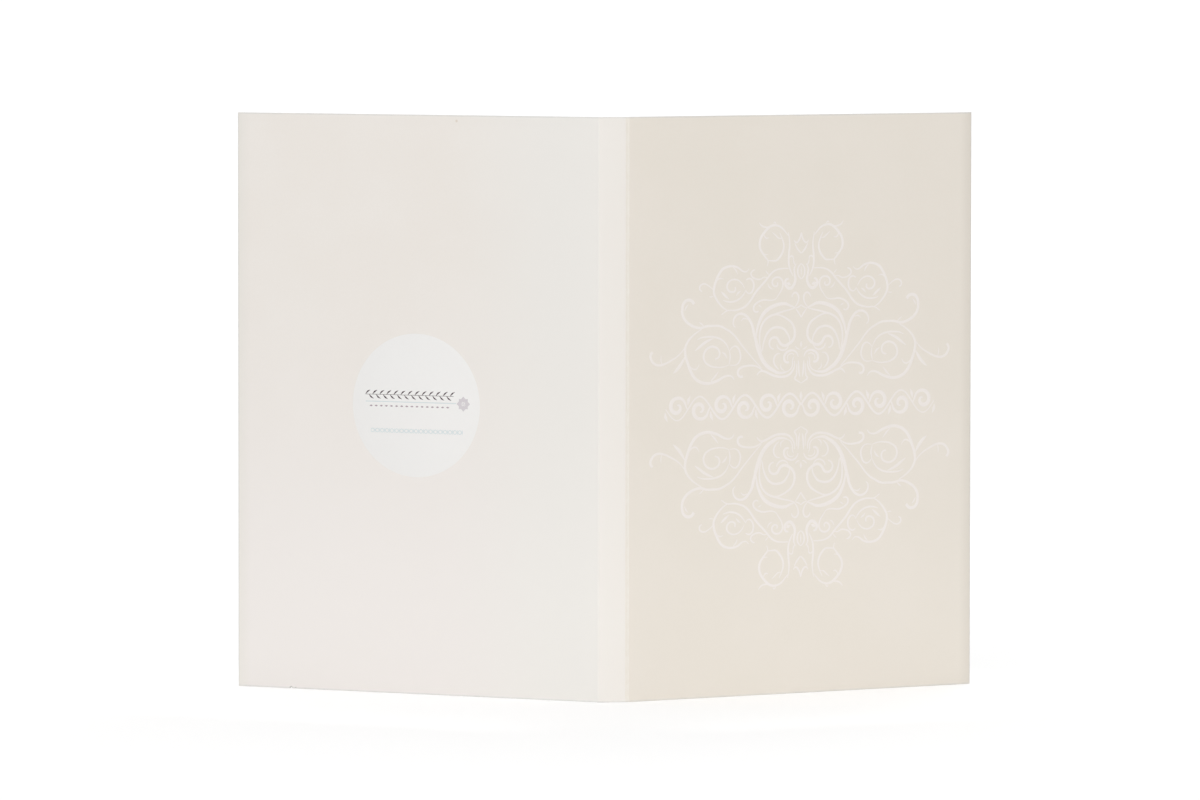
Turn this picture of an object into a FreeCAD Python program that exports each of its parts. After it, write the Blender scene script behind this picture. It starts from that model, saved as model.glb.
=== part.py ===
import FreeCAD, Part
import math
import os
import Sketcher

# Greeting card, folded from one sheet of cover board and standing open on its bottom edge.
# Flat, the sheet is back cover, narrow spine and front cover, side by side.
# The spine faces -Y, the covers spread towards +Y, and the printed faces look outwards.
# The origin is on the table, under the middle of the card's box.

doc = FreeCAD.newDocument("greeting_card")

# Driving lengths, in millimetres.
LENGTHS = (
    ("panel_width", 148.0),
    ("panel_height", 210.0),
    ("spine_width", 10.4),
    ("board_thickness", 0.45),
    ("shoulder_radius", 0.9),
    ("back_score_width", 0.4),
    ("front_score_width", 1.0),
    ("score_land", 0.1),
    ("score_depth", 0.06),
    ("bead_height", 0.12),
    ("back_curl_length", 6.0),
    ("front_curl_length", 5.5),
)

# Driving angles, in degrees: how far each panel is swung back from the X axis, and how far
# each free edge curls beyond its panel.
TURNS = (
    ("back_cover_turn", 26.8),
    ("spine_turn", 8.7),
    ("front_cover_turn", 31.2),
    ("back_curl_turn", 10.0),
    ("front_curl_turn", 18.0),
)

sheet = doc.addObject("Spreadsheet::Sheet", "Sizes")
for row, (alias, size) in enumerate(LENGTHS + TURNS, start=1):
    sheet.set(f"A{row}", alias)
    sheet.set(f"B{row}", str(size))
    sheet.setAlias(f"B{row}", alias)
doc.recompute()


def value(formula):
    """What a formula on the sheet's cells comes to, as a plain number."""
    return float(sheet.evalExpression(formula))


# Formulas on the sheet's cells, each written once and used for every face that follows it.
BACK_FOLD_TURN = "(Sizes.back_cover_turn + Sizes.spine_turn)"
FRONT_FOLD_TURN = "(Sizes.front_cover_turn - Sizes.spine_turn)"
BACK_CREASE = "(Sizes.back_score_width + 2 * Sizes.score_land)"
FRONT_CREASE = "(Sizes.front_score_width + 2 * Sizes.score_land)"
HALF_BACK_FOLD = f"({BACK_CREASE} + Sizes.shoulder_radius * {BACK_FOLD_TURN} * pi / 180) / 2"
HALF_FRONT_FOLD = f"({FRONT_CREASE} + Sizes.shoulder_radius * {FRONT_FOLD_TURN} * pi / 180) / 2"


def curl_radius(side):
    """A cover's free edge curls along an arc of the given length and turn."""
    return f"Sizes.{side}_curl_length / (Sizes.{side}_curl_turn * pi / 180)"


# The outer face, walked from the back cover's free edge to the front cover's.
# Every bend turns the same way, towards the inside of the card. Each fold is a flat crease
# between two rounded shoulders that share the fold's turn.
# An arc is (name, "arc", radius, turn), a flat is (name, "flat", length, heading).
STRETCHES = (
    ("back_curl", "arc", curl_radius("back"), "Sizes.back_curl_turn"),
    ("back_cover", "flat", f"Sizes.panel_width - Sizes.back_curl_length - {HALF_BACK_FOLD}",
     "-Sizes.back_cover_turn"),
    ("back_shoulder_1", "arc", "Sizes.shoulder_radius", f"{BACK_FOLD_TURN} / 2"),
    ("back_crease", "flat", BACK_CREASE, "(Sizes.spine_turn - Sizes.back_cover_turn) / 2"),
    ("back_shoulder_2", "arc", "Sizes.shoulder_radius", f"{BACK_FOLD_TURN} / 2"),
    ("spine", "flat", f"Sizes.spine_width - {HALF_BACK_FOLD} - {HALF_FRONT_FOLD}",
     "Sizes.spine_turn"),
    ("front_shoulder_1", "arc", "Sizes.shoulder_radius", f"{FRONT_FOLD_TURN} / 2"),
    ("front_crease", "flat", FRONT_CREASE, "(Sizes.spine_turn + Sizes.front_cover_turn) / 2"),
    ("front_shoulder_2", "arc", "Sizes.shoulder_radius", f"{FRONT_FOLD_TURN} / 2"),
    ("front_cover", "flat", f"Sizes.panel_width - Sizes.front_curl_length - {HALF_FRONT_FOLD}",
     "Sizes.front_cover_turn"),
    ("front_curl", "arc", curl_radius("front"), "Sizes.front_curl_turn"),
)
START_HEADING = "-(Sizes.back_cover_turn + Sizes.back_curl_turn)"
END_HEADING = "Sizes.front_cover_turn + Sizes.front_curl_turn"


def ahead(heading):
    """Unit vector along a heading in degrees, measured from +X towards +Y."""
    angle = math.radians(heading)
    return FreeCAD.Vector(math.cos(angle), math.sin(angle), 0)


def walk(depth):
    """Geometry of the face that lies depth inside the outer one, and where each stretch ends."""
    heading = value(START_HEADING)
    point = ahead(heading + 90) * depth
    geometry = []
    spans = {}
    for name, kind, size, angle in STRETCHES:
        if kind == "flat":
            finish = point + ahead(heading) * value(size)
            geometry.append(Part.LineSegment(point, finish))
        else:
            radius = value(size) - depth
            centre = point + ahead(heading + 90) * radius
            circle = Part.Circle(centre, FreeCAD.Vector(0, 0, 1), radius)
            first = math.radians(heading - 90)
            heading += value(angle)
            geometry.append(Part.ArcOfCircle(circle, first, math.radians(heading - 90)))
            finish = centre + ahead(heading - 90) * radius
        spans[name] = (point, finish)
        point = finish
    return geometry, spans


def xy_sketch(body, name):
    """A sketch on the body's own XY plane, which is the plane of the card's bottom edge."""
    sketch = body.newObject("Sketcher::SketchObject", name)
    plane = next(item for item in body.Origin.OriginFeatures if item.Role == "XY_Plane")
    sketch.AttachmentSupport = [(plane, "")]
    sketch.MapMode = "FlatFace"
    return sketch


def bind(sketch, name, kind, items, start, formula):
    """Add a driving dimension to the sketch and tie it to the sheet."""
    index = sketch.addConstraint(Sketcher.Constraint(kind, *items, start))
    sketch.renameConstraint(index, name)
    sketch.setExpression(f"Constraints.{name}", formula)


# Point numbers on a line or arc, the sketch origin, and how near two equal points lie.
START, END, CENTRE = 1, 2, 3
ORIGIN = (-1, 1)
SAME_POINT = 0.001


def draw_section(sketch):
    """The board's cross section: outer face, inner face and the two trimmed edges."""
    outer, outer_spans = walk(0.0)
    inner, inner_spans = walk(value("Sizes.board_thickness"))
    count = len(STRETCHES)
    sketch.addGeometry(outer + inner, False)
    for face in (0, count):
        for index in range(face, face + count - 1):
            sketch.addConstraint(Sketcher.Constraint("Tangent", index, END, index + 1, START))
    sketch.addConstraint(Sketcher.Constraint("Coincident", 0, START, *ORIGIN))

    for index, (name, kind, size, angle) in enumerate(STRETCHES):
        if kind == "flat":
            bind(sketch, f"{name}_length", "Distance", (index,), value(size), size)
            heading = math.radians(value(angle))
            bind(sketch, f"{name}_heading", "Angle", (index,), heading, f"({angle}) * 1 deg")
        else:
            bind(sketch, f"{name}_outside", "Radius", (index,), value(size), size)
            inside = f"{size} - Sizes.board_thickness"
            bind(sketch, f"{name}_inside", "Radius", (index + count,), value(inside), inside)
            sketch.addConstraint(
                Sketcher.Constraint("Coincident", index, CENTRE, index + count, CENTRE))

    edges = (
        ("back_edge", 0, START, START_HEADING, outer_spans["back_curl"][0],
         inner_spans["back_curl"][0]),
        ("front_edge", count - 1, END, END_HEADING, outer_spans["front_curl"][1],
         inner_spans["front_curl"][1]),
    )
    for name, arc, end, heading, outside, inside in edges:
        edge = sketch.addGeometry(Part.LineSegment(outside, inside), False)
        sketch.addConstraint(Sketcher.Constraint("Coincident", edge, START, arc, end))
        sketch.addConstraint(Sketcher.Constraint("Coincident", edge, END, arc + count, end))
        sketch.addConstraint(Sketcher.Constraint("PointOnObject", arc, CENTRE, edge))
        square = f"{heading} + 90"
        bind(sketch, f"{name}_square", "Angle", (edge,), math.radians(value(square)),
             f"({square}) * 1 deg")
    return outer_spans, inner_spans


def named_edge(sketch, span):
    """The name of the sketch's edge that runs between the two points of a span."""
    for number, edge in enumerate(sketch.Shape.Edges, start=1):
        ends = [vertex.Point for vertex in edge.Vertexes]
        if all(min(end.distanceToPoint(point) for end in ends) < SAME_POINT for point in span):
            return f"Edge{number}"
    raise ValueError("no edge between these points")


def draw_swells(sketch, section, spans, rise):
    """One rounded swell on each fold's crease, standing off it towards the inside of the card."""
    for side in ("back", "front"):
        width = f"Sizes.{side}_score_width"
        span = spans[f"{side}_crease"]
        sketch.addExternal(section.Name, named_edge(section, span))
        crease = -len(sketch.ExternalGeo)
        along = (span[1] - span[0]).normalize()
        inwards = FreeCAD.Vector(-along.y, along.x, 0)
        first = span[0] + along * value("Sizes.score_land")
        last = span[1] - along * value("Sizes.score_land")

        bend = f"{width} ^ 2 / (8 * {rise}) + {rise} / 2"
        radius = value(bend)
        centre = (first + last) / 2 + inwards * (value(rise) - radius)
        circle = Part.Circle(centre, FreeCAD.Vector(0, 0, 1), radius)
        angles = [math.atan2(point.y - centre.y, point.x - centre.x) for point in (last, first)]
        chord = sketch.addGeometry(Part.LineSegment(first, last), False)
        crown = sketch.addGeometry(Part.ArcOfCircle(circle, *angles), False)

        for end in (START, END):
            sketch.addConstraint(Sketcher.Constraint("PointOnObject", chord, end, crease))
            bind(sketch, f"{side}_land_{end}", "Distance", (crease, end, chord, end),
                 value("Sizes.score_land"), "Sizes.score_land")
        sketch.addConstraint(Sketcher.Constraint("Coincident", crown, START, chord, END))
        sketch.addConstraint(Sketcher.Constraint("Coincident", crown, END, chord, START))
        bind(sketch, f"{side}_crown", "Radius", (crown,), radius, bend)


def full_height(body, kind, name, sketch):
    """A pad or a pocket that runs from the card's bottom edge to its top edge."""
    feature = body.newObject(kind, name)
    feature.Profile = sketch
    feature.Type = 0
    feature.setExpression("Length", "Sizes.panel_height")
    return feature


def folded_sheet():
    """The whole card: the folded board, scored outside both folds and beaded inside them."""
    body = doc.addObject("PartDesign::Body", "card")
    body.Label = "card"
    section = xy_sketch(body, "section")
    outer_spans, inner_spans = draw_section(section)
    doc.recompute()
    board = full_height(body, "PartDesign::Pad", "board", section)
    doc.recompute()

    score_section = xy_sketch(body, "score_section")
    draw_swells(score_section, section, outer_spans, "Sizes.score_depth")
    doc.recompute()
    scores = full_height(body, "PartDesign::Pocket", "scores", score_section)
    scores.Reversed = True
    doc.recompute()

    bead_section = xy_sketch(body, "bead_section")
    draw_swells(bead_section, section, inner_spans, "Sizes.bead_height")
    doc.recompute()
    beads = full_height(body, "PartDesign::Pad", "beads", bead_section)
    doc.recompute()

    if scores.Shape.Volume >= board.Shape.Volume:
        raise ValueError("the score lines cut nothing")
    if beads.Shape.Volume <= scores.Shape.Volume:
        raise ValueError("the beads add nothing")
    return body


def stand_on_origin(body):
    """Bring the origin to the middle of the card's box, on the table."""
    box = body.Shape.optimalBoundingBox(False, False)
    body.Placement = FreeCAD.Placement(
        FreeCAD.Vector(-box.Center.x, -box.Center.y, -box.ZMin), FreeCAD.Rotation())
    doc.recompute()


def check_and_write(body):
    """Refuse a failed feature or an unsound solid, then write the sheet as its own file."""
    for item in doc.Objects:
        if "Invalid" in item.State or "Error" in item.State:
            raise ValueError(f"{item.Label} failed: {item.State}")
    shape = body.Shape
    if shape.isNull() or not shape.isValid() or len(shape.Solids) != 1:
        raise ValueError(f"{body.Label} is not one sound solid")
    os.makedirs("parts", exist_ok=True)
    shape.exportStep(f"parts/{body.Label}.step")
    box = shape.optimalBoundingBox(False, False)
    print(f"{body.Label}: {shape.Volume:.1f} mm3, box {box.XLength:.2f} x {box.YLength:.2f} x "
          f"{box.ZLength:.2f} mm")


card = folded_sheet()
stand_on_origin(card)
check_and_write(card)
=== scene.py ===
import math

import bmesh
import bpy
from mathutils import Matrix, Vector


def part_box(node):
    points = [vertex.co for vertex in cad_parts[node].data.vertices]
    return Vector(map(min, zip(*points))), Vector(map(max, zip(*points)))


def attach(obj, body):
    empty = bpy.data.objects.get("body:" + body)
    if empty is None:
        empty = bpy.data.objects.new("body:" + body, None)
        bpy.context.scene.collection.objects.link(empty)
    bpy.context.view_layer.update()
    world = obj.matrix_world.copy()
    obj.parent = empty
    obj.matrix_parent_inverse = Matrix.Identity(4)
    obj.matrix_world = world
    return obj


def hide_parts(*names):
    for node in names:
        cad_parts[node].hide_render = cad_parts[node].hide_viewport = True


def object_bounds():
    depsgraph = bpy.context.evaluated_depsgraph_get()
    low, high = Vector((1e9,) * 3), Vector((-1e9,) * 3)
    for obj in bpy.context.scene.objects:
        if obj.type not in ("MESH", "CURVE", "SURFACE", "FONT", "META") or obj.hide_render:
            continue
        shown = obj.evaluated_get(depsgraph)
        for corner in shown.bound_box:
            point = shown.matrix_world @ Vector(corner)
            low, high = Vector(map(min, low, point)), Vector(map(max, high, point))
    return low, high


# A folded greeting card, standing open on its bottom edge with its spine to the camera.
# One sheet of board is cut, printed, scored and folded, in that order.
# Lengths are in metres, apart from those of the printed designs, which are in millimetres.

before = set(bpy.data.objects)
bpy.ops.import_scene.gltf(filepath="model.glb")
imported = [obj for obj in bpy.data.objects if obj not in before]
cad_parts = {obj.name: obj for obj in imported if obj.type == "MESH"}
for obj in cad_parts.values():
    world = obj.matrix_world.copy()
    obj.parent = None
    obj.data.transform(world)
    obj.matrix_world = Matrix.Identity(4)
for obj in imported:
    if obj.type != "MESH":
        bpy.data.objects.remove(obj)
solid_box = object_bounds()

# The sheet, laid flat: back cover, spine and front cover from left to right.
COVER_WIDTH = 0.148
SPINE_WIDTH = 0.0104
COVER_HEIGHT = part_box("card")[1].z
BOARD = 0.00045
SHEET_WIDTH = 2 * COVER_WIDTH + SPINE_WIDTH
BACK_FOLD = COVER_WIDTH
FRONT_FOLD = COVER_WIDTH + SPINE_WIDTH

# How far each panel turns from the X axis and how far each free edge curls away, in degrees.
BACK_TURN = 26.8
SPINE_TURN = 8.7
FRONT_TURN = 31.2
BACK_CURL_TURN = 10.0
FRONT_CURL_TURN = 18.0
BACK_CURL = 0.006
FRONT_CURL = 0.0055

# Each fold is a pressed crease between two rounded shoulders, with a score along it.
SHOULDER_RADIUS = 0.0009
SCORE_LAND = 0.0001
BACK_SCORE = 0.0004
FRONT_SCORE = 0.001
SCORE_DEPTH = 0.00006
BEAD_HEIGHT = 0.00012
SCORES = ((BACK_FOLD, BACK_SCORE), (FRONT_FOLD, FRONT_SCORE))

# Shares of a score's width: where it is cut into columns, and how far from its middle the
# pressed flanks and the crown of the bead reach. The flanks have this share of the bead's height.
SCORE_COLUMNS = (-0.5, -0.3, 0, 0.3, 0.5)
SCORE_FLANK = 0.35
SCORE_CROWN = 0.1
FLANK_RISE = 0.7

# How far the trimmed edges are rounded, and how sharp, in degrees, an edge must be for that.
TRIM_ROUND = 0.00005
SHARP_EDGE = 60

# Edges that turn less than this, in degrees, are shaded smooth.
BOARD_SMOOTHING = 30
INK_SMOOTHING = 50

# The beige of the front cover is printed up to the near side of the front fold.
PRINT_EDGE = FRONT_FOLD - 0.00085

# How finely the sheet is cut, and a distance too small to see.
SHOULDER_STEPS = 4
CURL_STEPS = 10
CELL = 0.014
HAIR = 0.000005

# How squarely a face looks forwards or backwards to count as the sheet's outside or inside.
FACING = 0.8

# Bruises on the bottom edge, as (place along the flat sheet, half width, depth). Each is pushed
# in broadly at the edge, then again in its middle. Reaches and columns are shares of the half
# width, and pushes are shares of the depth.
BRUISES = ((0.0223, 0.00055, 0.0003), (0.02415, 0.0003, 0.00015))
BRUISE_ROWS = (0.0005, 0.001)
BRUISE_COLUMNS = (-1, -0.5, 0, 0.5, 1)
BROAD_REACH = 0.6
BROAD_PUSH = Vector((0, 0.3, 1))
MIDDLE_REACH = 0.2
MIDDLE_PUSH = Vector((0, 0.4, 0.3))

# A small brown speck near the top edge of the back cover.
SPECK = (0.0905, 0.2079)
SPECK_SIZE = 0.0007

# The grey of a bruise: how far up it is centred, and its size as a share of the half width.
BRUISE_SPOT_HEIGHT = 0.0002
BRUISE_SPOT_SIZE = 1.7

# Where the designs are centred, above the bottom edge and from the nearer fold.
DESIGN_HEIGHT = 0.1048
LABEL_FROM_FOLD = 0.074
ORNAMENT_FROM_FOLD = 0.0736

MM = 0.001


def display(red, green, blue):
    """A colour as a screen shows it, 0 to 255, as the linear values that a shader takes."""
    def linear(level):
        share = level / 255
        return share / 12.92 if share <= 0.04045 else ((share + 0.055) / 1.055) ** 2.4
    return (linear(red), linear(green), linear(blue), 1.0)


# Working with operators

def alone(piece):
    """Make the piece the only selected object, and the active one."""
    bpy.ops.object.select_all(action="DESELECT")
    piece.select_set(True)
    bpy.context.view_layer.objects.active = piece


def new_piece(name):
    """Name the object that an operator has just added."""
    piece = bpy.context.object
    piece.name = name
    piece.data.name = name
    return piece


def select(piece, wanted):
    """In edit mode, select the vertices that wanted(vertex) accepts, and nothing else."""
    mesh = bmesh.from_edit_mesh(piece.data)
    for vertex in mesh.verts:
        vertex.select = wanted(vertex)
    mesh.select_flush_mode()
    bmesh.update_edit_mesh(piece.data)


def apply_modifier(piece, kind, **settings):
    alone(piece)
    modifier = piece.modifiers.new(kind.lower(), kind)
    for setting, value in settings.items():
        setattr(modifier, setting, value)
    bpy.ops.object.modifier_apply(modifier=modifier.name)


def dull_edges(piece, width):
    """Round the sharp edges of a piece a little."""
    apply_modifier(piece, "BEVEL", width=width, segments=2, limit_method="ANGLE",
                   angle_limit=math.radians(SHARP_EDGE))


def swing(centre, degrees):
    """Turn what is selected about an upright line, anticlockwise as seen from above.
    With no window the operator turns the other way, so the angle is given negative."""
    bpy.ops.transform.rotate(value=-math.radians(degrees), orient_axis="Z",
                             orient_type="GLOBAL", center_override=centre)


def ahead(degrees):
    """One unit in a heading, anticlockwise from the X axis."""
    return Vector((math.cos(math.radians(degrees)), math.sin(math.radians(degrees))))


# Folds and curls

def even_bend(start, length, turn, steps):
    """A bend shared by evenly spaced turns, as (place along the flat sheet, degrees)."""
    return [(start + (step + 0.5) * length / steps, turn / steps) for step in range(steps)]


def fold_bend(fold, score, turn):
    """The turns of one fold: half of it in each shoulder, beside the crease."""
    crease = score / 2 + SCORE_LAND
    shoulder = SHOULDER_RADIUS * math.radians(turn) / 2
    return (even_bend(fold - crease - shoulder, shoulder, turn / 2, SHOULDER_STEPS)
            + even_bend(fold + crease, shoulder, turn / 2, SHOULDER_STEPS))


BENDS = (
    even_bend(0, BACK_CURL, BACK_CURL_TURN, CURL_STEPS)
    + fold_bend(BACK_FOLD, BACK_SCORE, BACK_TURN + SPINE_TURN)
    + fold_bend(FRONT_FOLD, FRONT_SCORE, FRONT_TURN - SPINE_TURN)
    + even_bend(SHEET_WIDTH - FRONT_CURL, FRONT_CURL, FRONT_CURL_TURN, CURL_STEPS)
)
START_TURN = -BACK_TURN - BACK_CURL_TURN


def even_places(start, end):
    """Places between two ends, about one cell apart, without the ends."""
    cells = max(1, round((end - start) / CELL))
    return [start + (end - start) * cell / cells for cell in range(1, cells)]


def column_places():
    """Where the flat sheet needs a line of vertices from bottom to top."""
    places = [place for place, turn in BENDS] + [PRINT_EDGE]
    for fold, score in SCORES:
        places += [fold + score * share for share in SCORE_COLUMNS]
    for place, half_width, depth in BRUISES:
        places += [place + half_width * share for share in BRUISE_COLUMNS]
    places += even_places(BACK_CURL, BACK_FOLD)
    places += even_places(BACK_FOLD, FRONT_FOLD)
    places += even_places(FRONT_FOLD, SHEET_WIDTH - FRONT_CURL)
    return places


# The sheet of board

def flat_sheet():
    """A plane standing in XZ with its outer face to the camera, cut into columns and rows."""
    bpy.ops.object.select_all(action="DESELECT")
    bpy.ops.mesh.primitive_plane_add(size=1, rotation=(math.pi / 2, 0, 0),
                                     location=(SHEET_WIDTH / 2, 0, COVER_HEIGHT / 2))
    sheet = new_piece("card_sheet")
    sheet.scale = (SHEET_WIDTH, COVER_HEIGHT, 1)
    bpy.ops.object.transform_apply(location=True, rotation=True, scale=True)
    bpy.ops.object.mode_set(mode="EDIT")
    for place in column_places():
        bpy.ops.mesh.select_all(action="SELECT")
        bpy.ops.mesh.bisect(plane_co=(place, 0, 0), plane_no=(1, 0, 0))
    for height in list(BRUISE_ROWS) + even_places(0, COVER_HEIGHT):
        bpy.ops.mesh.select_all(action="SELECT")
        bpy.ops.mesh.bisect(plane_co=(0, 0, height), plane_no=(0, 0, 1))
    bpy.ops.object.mode_set(mode="OBJECT")
    measure_sheet(sheet)
    return sheet


def measure_sheet(sheet):
    """Turn the plane's own UV map into places on the flat sheet, in metres."""
    flat = sheet.data.uv_layers[0]
    flat.name = "flat_sheet"
    for corner in flat.data:
        corner.uv = (corner.uv.x * SHEET_WIDTH, corner.uv.y * COVER_HEIGHT)


def thicken_and_trim(sheet):
    """Give the board its thickness behind the outer face, and dull the trimmed edges."""
    apply_modifier(sheet, "SOLIDIFY", thickness=BOARD, offset=-1, use_even_offset=True)
    dull_edges(sheet, TRIM_ROUND)


def press_scores(sheet):
    """Press the score into the outer face and raise its bead on the inner face."""
    alone(sheet)
    bpy.ops.object.mode_set(mode="EDIT")
    for fold, score in SCORES:
        flanks = score * SCORE_FLANK
        crown = score * SCORE_CROWN
        select(sheet, lambda v: abs(v.co.x - fold) < flanks and v.co.y < BOARD / 2)
        bpy.ops.transform.translate(value=(0, SCORE_DEPTH, 0))
        select(sheet, lambda v: abs(v.co.x - fold) < flanks and v.co.y > BOARD / 2)
        bpy.ops.transform.translate(value=(0, BEAD_HEIGHT * FLANK_RISE, 0))
        select(sheet, lambda v: abs(v.co.x - fold) < crown and v.co.y > BOARD / 2)
        bpy.ops.transform.translate(value=(0, BEAD_HEIGHT * (1 - FLANK_RISE), 0))
    bpy.ops.object.mode_set(mode="OBJECT")


def bruise_bottom_edge(sheet):
    """Dent the bottom edge where it was knocked."""
    alone(sheet)
    bpy.ops.object.mode_set(mode="EDIT")
    first_row = BRUISE_ROWS[0]
    for place, half_width, depth in BRUISES:
        broad = half_width * BROAD_REACH
        middle = half_width * MIDDLE_REACH
        select(sheet, lambda v: abs(v.co.x - place) < broad and v.co.z < first_row / 2)
        bpy.ops.transform.translate(value=BROAD_PUSH * depth)
        select(sheet, lambda v: abs(v.co.x - place) < middle and v.co.z < first_row + HAIR)
        bpy.ops.transform.translate(value=MIDDLE_PUSH * depth)
    bpy.ops.object.mode_set(mode="OBJECT")


def print_sheet(sheet, back, spine, front, inside, edge):
    """Give the sheet its finishes: three fields of print outside, the inside and the cut edge."""
    finishes = (back, spine, front, inside, edge)
    for finish in finishes:
        sheet.data.materials.append(finish)
    for face in sheet.data.polygons:
        if face.normal.y > FACING:
            finish = inside
        elif face.normal.y >= -FACING:
            finish = edge
        elif face.center.x < BACK_FOLD:
            finish = back
        elif face.center.x < PRINT_EDGE:
            finish = spine
        else:
            finish = front
        face.material_index = finishes.index(finish)


def fold_sheet(sheet):
    """Fold and curl the flat sheet, bend by bend from its far end, then stand it in place.
    The vertices on a bend's own line turn half as far as those beyond it."""
    flat = [vertex.co.x for vertex in sheet.data.vertices]
    alone(sheet)
    bpy.ops.object.mode_set(mode="EDIT")
    for place, turn in reversed(BENDS):
        for beyond in (place - HAIR, place + HAIR):
            select(sheet, lambda v: flat[v.index] > beyond)
            swing((place, 0, 0), turn / 2)
    bpy.ops.mesh.select_all(action="SELECT")
    swing((0, 0, 0), START_TURN)
    bpy.ops.object.mode_set(mode="OBJECT")
    low = Vector(map(min, *(vertex.co for vertex in sheet.data.vertices)))
    high = Vector(map(max, *(vertex.co for vertex in sheet.data.vertices)))
    solid_low, solid_high = solid_box
    shift = (solid_low + solid_high - low - high) / 2
    shift.z = 0
    sheet.location = shift
    bpy.ops.object.transform_apply(location=True, rotation=True, scale=True)
    bpy.ops.object.shade_smooth_by_angle(angle=math.radians(BOARD_SMOOTHING))
    return shift


def cover_matrix(flat_place, height, shift):
    """Places a design on the folded card: X along the cover, Y up and Z out of its face.
    A unit of the design becomes a millimetre."""
    place, heading, last = Vector((0, 0)), START_TURN, 0
    for bend, turn in BENDS:
        if bend > flat_place:
            break
        place += ahead(heading) * (bend - last)
        heading += turn
        last = bend
    place += ahead(heading) * (flat_place - last) + shift.to_2d()
    along = ahead(heading).to_3d()
    up = Vector((0, 0, 1))
    turned = Matrix((along, up, along.cross(up))).transposed().to_4x4()
    return Matrix.Translation((place.x, place.y, height)) @ turned @ Matrix.Scale(MM, 4)


# Printed strokes

# The section of a stroke's ink, for a half width of one: a flat foot in the board, and a crown.
INK_SECTION = ((-1, -0.02), (1, -0.02), (0.72, 0.035), (0, 0.05), (-0.72, 0.035))

# How finely a stroke is cut between its points, and the least width that it tapers to.
STROKE_STEPS = 4
TUCKED_END = 0.12


def stroke(start, middle, end, *points):
    """A stroke through its points, with its width at the start, middle and end."""
    return (start, middle, end, points, False)


def ring(centre, radius, width):
    """A round loop of even width."""
    x, y = centre
    points = ((x + radius, y), (x, y + radius), (x - radius, y), (x, y - radius))
    return (width, width, width, points, True)


def bud(centre, length, width, lean=0):
    """A short pointed blob of ink, lying along its lean in degrees."""
    half = ahead(lean) * length / 2
    middle = Vector(centre)
    return stroke(TUCKED_END, width, TUCKED_END, middle - half, middle, middle + half)


def ink_profile():
    """The closed outline that is swept along each stroke."""
    bpy.ops.object.select_all(action="DESELECT")
    bpy.ops.curve.primitive_bezier_circle_add(radius=1)
    profile = new_piece("ink_profile")
    profile.data.dimensions = "2D"
    profile.data.fill_mode = "NONE"
    profile.data.splines.clear()
    line = profile.data.splines.new("POLY")
    line.points.add(len(INK_SECTION) - 1)
    for point, (x, y) in zip(line.points, INK_SECTION):
        point.co = (x, y, 0, 1)
    line.use_cyclic_u = True
    return profile


def draw(name, strokes):
    """Draw every stroke as one flat curve with the ink's section, and turn it into a mesh."""
    profile = ink_profile()
    bpy.ops.object.select_all(action="DESELECT")
    bpy.ops.curve.primitive_bezier_curve_add()
    drawing = new_piece(name)
    curve = drawing.data
    curve.splines.clear()
    curve.dimensions = "2D"
    curve.fill_mode = "NONE"
    curve.resolution_u = STROKE_STEPS
    curve.bevel_mode = "OBJECT"
    curve.bevel_object = profile
    curve.use_fill_caps = True
    for start, middle, end, points, closed in strokes:
        add_spline(curve, start, middle, end, points, closed)
    alone(drawing)
    bpy.ops.object.convert(target="MESH")
    bpy.data.objects.remove(profile)
    close_up(drawing)
    return drawing


def add_spline(curve, start, middle, end, points, closed):
    """A smooth line through the points. Its width follows a parabola through the three widths."""
    spline = curve.splines.new("BEZIER")
    spline.bezier_points.add(len(points) - 1)
    spline.use_cyclic_u = closed
    for index, (knot, (x, y)) in enumerate(zip(spline.bezier_points, points)):
        along = index / (len(points) - 1)
        width = (start * (1 - along) ** 2 + (4 * middle - start - end) * along * (1 - along)
                 + end * along ** 2)
        knot.co = (x, y, 0)
        knot.radius = max(width, TUCKED_END) / 2
        knot.handle_left_type = "AUTO"
        knot.handle_right_type = "AUTO"


def close_up(piece):
    """Weld the caps to the strokes and point every face outwards."""
    alone(piece)
    bpy.ops.object.mode_set(mode="EDIT")
    bpy.ops.mesh.select_all(action="SELECT")
    bpy.ops.mesh.remove_doubles(threshold=0.001)
    bpy.ops.mesh.normals_make_consistent(inside=False)
    bpy.ops.object.mode_set(mode="OBJECT")


def flipped(piece, x, y):
    """A mirrored copy with its own mesh."""
    copy = piece.copy()
    copy.data = piece.data.copy()
    bpy.context.collection.objects.link(copy)
    copy.scale = (x, y, 1)
    alone(copy)
    bpy.ops.object.transform_apply(location=True, rotation=True, scale=True)
    close_up(copy)
    return copy


def symmetrical(name, right_side, on_axis):
    """Draw a design from the strokes of its right side and those on its axis."""
    drawing = draw(name, right_side)
    left = flipped(drawing, -1, 1)
    axis = draw("on_axis", on_axis)
    alone(drawing)
    left.select_set(True)
    axis.select_set(True)
    bpy.ops.object.join()
    return drawing


def lay(piece, matrix, finish):
    """Lay a finished design on its cover, in its ink."""
    piece.matrix_world = matrix
    alone(piece)
    bpy.ops.object.transform_apply(location=True, rotation=True, scale=True)
    bpy.ops.object.shade_smooth_by_angle(angle=math.radians(INK_SMOOTHING))
    piece.data.materials.append(finish)
    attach(piece, "root")


# The scrollwork of the front cover: its upper right quarter, in millimetres from its centre.

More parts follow.
